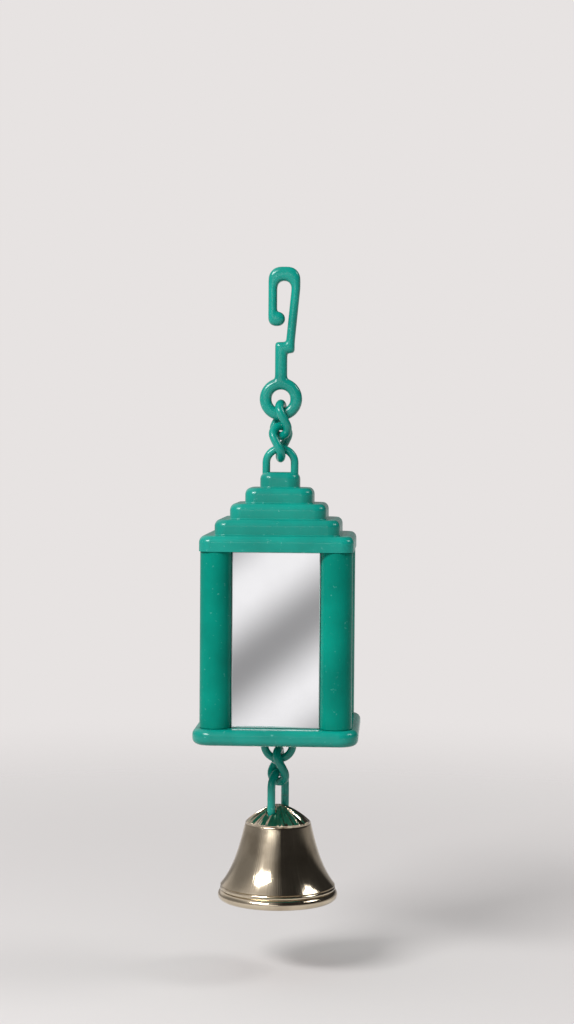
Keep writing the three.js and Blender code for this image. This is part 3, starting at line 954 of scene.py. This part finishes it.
class TOY_OT_clapper(bpy.types.Operator):
    """Bends the clapper's wire with its eye and drills its ball"""

    bl_idname = "toy.clapper"
    bl_label = "Clapper"
    eye_start = -0.32 * math.pi  # cut end of the wire, round from the right
    eye_end = 1.5 * math.pi  # foot of the eye, where the rod begins
    eye_steps = 40
    wire_sides = 16

    def execute(self, context):
        bell = context.scene.toy_bell
        turn = bell_turn(context.scene.toy_chain) + math.pi / 2
        low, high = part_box("clapper_wire")
        eye = Vector((0, 0, high.z - bell.wire / 2 - bell.eye))
        points = arc(eye, bell.eye, self.eye_start, self.eye_end, self.eye_steps)
        points += [Vector((0, 0, points[-1].z - bell.wire)), Vector((0, 0, low.z))]
        wire = bar(points, bell.wire, self.wire_sides)
        place(wire, turn, 0)
        dress(wire, "clapper_rod", "clapper", "clapper_wire", plain_steel)

        low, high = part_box("clapper_ball")
        radius = (high.x - low.x) / 2
        centre = Vector((0, 0, low.z + radius))
        ball = begin(
            bpy.ops.mesh.primitive_uv_sphere_add,
            segments=48,
            ring_count=32,
            radius=radius,
            location=centre,
        )
        end()
        drill = begin(
            bpy.ops.mesh.primitive_cylinder_add,
            vertices=32,
            radius=bell.bore,
            depth=2 * radius,
            location=centre + Vector((0, 0, radius)),
        )
        end()
        combine(ball, drill, "DIFFERENCE")
        dress(ball, "clapper_bob", "clapper", "clapper_ball", plain_steel)
        return {"FINISHED"}


class TOY_OT_stage(bpy.types.Operator):
    """Sets the floor, the light and the camera"""

    bl_idname = "toy.stage"
    bl_label = "Stage"
    fade_start = 0.15  # shares of the floor's radius over which it fades
    fade_end = 0.75
    # Tones in reflections: below the horizon, on the room's left and right, and where the room
    # begins above
    ground_tone = {"start": -0.175, "end": -0.015, "low": 1.27, "high": 0.4}
    left_tone = {"start": -0.9, "end": -0.55, "low": 0.3, "high": 0.95}
    right_tone = {"start": -0.5, "end": 0.2, "low": 1, "high": 0.04}
    room_start = {"start": 0.08, "end": 0.2}
    # Soft light that falls on the toy, from left to right and from below to above
    light_across = {"start": -1, "low": 0.75, "high": 0.12}
    light_up = {"start": -1, "low": 0.45, "high": 1.15}
    smooth = {"interpolation_type": "SMOOTHSTEP"}

    def execute(self, context):
        scene = context.scene
        stage, finish = scene.toy_stage, scene.toy_finish
        scene.view_settings.view_transform = "Standard"
        self.floor(stage, finish)
        self.sky(scene, finish)
        for role in ("key", "fill", "strip"):
            self.lamp(stage, role)

        away = self.direction(stage.yaw, stage.elevation)
        camera = bpy.data.cameras.new("camera")
        camera.sensor_fit = "VERTICAL"
        camera.angle = 2 * math.atan(stage.view_height / 2 / stage.distance)
        camera.clip_start = 0.01
        camera.clip_end = 20
        holder = bpy.data.objects.new("camera", camera)
        scene.collection.objects.link(holder)
        holder.location = Vector((stage.aim_x, 0, -stage.aim_drop)) + away * stage.distance
        facing = (-away).to_track_quat("-Z", "Y").to_matrix()
        holder.rotation_euler = (facing @ Matrix.Rotation(stage.roll, 3, "Z")).to_euler()
        scene.camera = holder
        return {"FINISHED"}

    def direction(self, turn, height):
        """The way out to a place round to the right of the front and above the level."""
        flat = math.cos(height)
        return Vector((math.sin(turn) * flat, -math.cos(turn) * flat, math.sin(height)))

    def lamp(self, stage, role):
        """A soft rectangular light that faces the toy."""
        light = bpy.data.lights.new(f"{role}_light", "AREA")
        light.shape = "RECTANGLE"
        light.size = getattr(stage, f"{role}_width")
        light.size_y = getattr(stage, f"{role}_depth")
        light.energy = getattr(stage, f"{role}_power")
        holder = bpy.data.objects.new(light.name, light)
        bpy.context.scene.collection.objects.link(holder)
        away = self.direction(getattr(stage, f"{role}_turn"), getattr(stage, f"{role}_height"))
        holder.location = Vector((0, 0, -stage.lamp_aim)) + away * stage.lamp_distance
        holder.rotation_euler = (-away).to_track_quat("-Z", "Y").to_euler()

    def floor(self, stage, finish):
        """A wide pale floor that fades into the background."""
        floor = begin(
            bpy.ops.mesh.primitive_circle_add,
            vertices=96,
            radius=stage.floor_radius,
            fill_type="NGON",
            location=(0, 0, -stage.floor_drop),
        )
        bpy.ops.object.mode_set(mode="OBJECT")
        floor.name = "floor"
        material, tree, shader, here = new_material("pale_floor")
        far = add(tree, "VectorMath", {0: here}, operation="LENGTH").outputs["Value"]
        start, end = self.fade_start * stage.floor_radius, self.fade_end * stage.floor_radius
        fade = remap(tree, far, start=start, end=end, **self.smooth)
        seen = add(tree, "LightPath", {}).outputs
        sharp = calculate(tree, "MAXIMUM", seen["Is Camera Ray"], seen["Is Glossy Ray"])
        share = calculate(tree, "MULTIPLY", fade, sharp)
        through = add(tree, "BsdfTransparent", {}).outputs["BSDF"]
        mix = add(tree, "MixShader", {0: share, 1: shader.outputs["BSDF"], 2: through})
        fill(tree, tree.nodes["Material Output"], {"Surface": mix.outputs["Shader"]})
        tone = blend(tree, seen["Is Diffuse Ray"], rgba(finish.floor), rgba(finish.floor_shade))
        fill(tree, shader, {"Base Color": tone, "Roughness": 0.8})
        floor.data.materials.append(material)

    def sky(self, scene, finish):
        """A pale background, soft light from the left and above, and calm tones for reflections.

        Reflections show the background pale below the horizon, dimmer at it, and above it as a room
        that is lit on the left and dark on the right.
        """
        world = bpy.data.worlds.new("studio")
        world.use_nodes = True
        scene.world = world
        tree = world.node_tree
        way = add(tree, "TexCoord", {}).outputs["Generated"]
        axes = add(tree, "SeparateXYZ", {"Vector": way})
        across, height = axes.outputs["X"], axes.outputs["Z"]
        ground = remap(tree, height, **self.ground_tone)
        left = remap(tree, across, **self.left_tone, **self.smooth)
        right = remap(tree, across, **self.right_tone, **self.smooth)
        room = calculate(tree, "MULTIPLY", left, right)
        above = remap(tree, height, **self.room_start, **self.smooth)
        tone = add(tree, "Mix", {"Factor": above, "A": ground, "B": room}).outputs["Result"]
        seen = add(tree, "LightPath", {}).outputs
        direct = seen["Is Camera Ray"]
        bright = add(tree, "Mix", {"Factor": direct, "A": tone, "B": 1}).outputs["Result"]
        pale = add(tree, "Background", {"Color": rgba(finish.backdrop), "Strength": bright})

        side = remap(tree, across, **self.light_across)
        up = remap(tree, height, **self.light_up)
        soft = calculate(tree, "MULTIPLY", side, up)
        light = tree.nodes["Background"]
        fill(tree, light, {"Color": (1, 1, 1, 1), "Strength": soft})

        sharp = calculate(tree, "MAXIMUM", direct, seen["Is Glossy Ray"])
        clear = calculate(tree, "MAXIMUM", sharp, seen["Is Transmission Ray"])
        shades = {0: clear, 1: light.outputs["Background"], 2: pale.outputs["Background"]}
        mix = add(tree, "MixShader", shades)
        fill(tree, tree.nodes["World Output"], {"Surface": mix.outputs["Shader"]})


class TOY_PT_sidebar(bpy.types.Panel):
    """Lists the pieces and their sizes"""

    bl_idname = "TOY_PT_sidebar"
    bl_label = "Mirror Toy"
    bl_space_type = "VIEW_3D"
    bl_region_type = "UI"
    bl_category = "Mirror Toy"

    def draw(self, context):
        for operator in OPERATORS:
            self.layout.operator(operator.bl_idname)
        for group in GROUPS:
            box = self.layout.box()
            settings = getattr(context.scene, group)
            for name in settings.bl_rna.properties.keys():
                if name not in ("rna_type", "name"):
                    box.prop(settings, name)


GROUPS = {
    "toy_chain": ToyChain,
    "toy_lantern": ToyLantern,
    "toy_bell": ToyBell,
    "toy_finish": ToyFinish,
    "toy_stage": ToyStage,
}
OPERATORS = (
    TOY_OT_hook,
    TOY_OT_links,
    TOY_OT_roof,
    TOY_OT_frame,
    TOY_OT_mirrors,
    TOY_OT_base,
    TOY_OT_bell,
    TOY_OT_hanger,
    TOY_OT_clapper,
    TOY_OT_stage,
)


def register():
    for cls in (*GROUPS.values(), *OPERATORS, TOY_PT_sidebar):
        bpy.utils.register_class(cls)
    for name, group in GROUPS.items():
        setattr(bpy.types.Scene, name, PointerProperty(type=group))


def unregister():
    for name in GROUPS:
        delattr(bpy.types.Scene, name)
    for cls in (TOY_PT_sidebar, *reversed(OPERATORS), *GROUPS.values()):
        bpy.utils.unregister_class(cls)


def main():
    register()
    bpy.ops.toy.stage()
    bpy.ops.toy.hook()
    bpy.ops.toy.links()
    bpy.ops.toy.roof()
    bpy.ops.toy.frame()
    bpy.ops.toy.mirrors()
    bpy.ops.toy.base()
    bpy.ops.toy.bell()
    bpy.ops.toy.hanger()
    bpy.ops.toy.clapper()


if __name__ == "__main__":
    main()
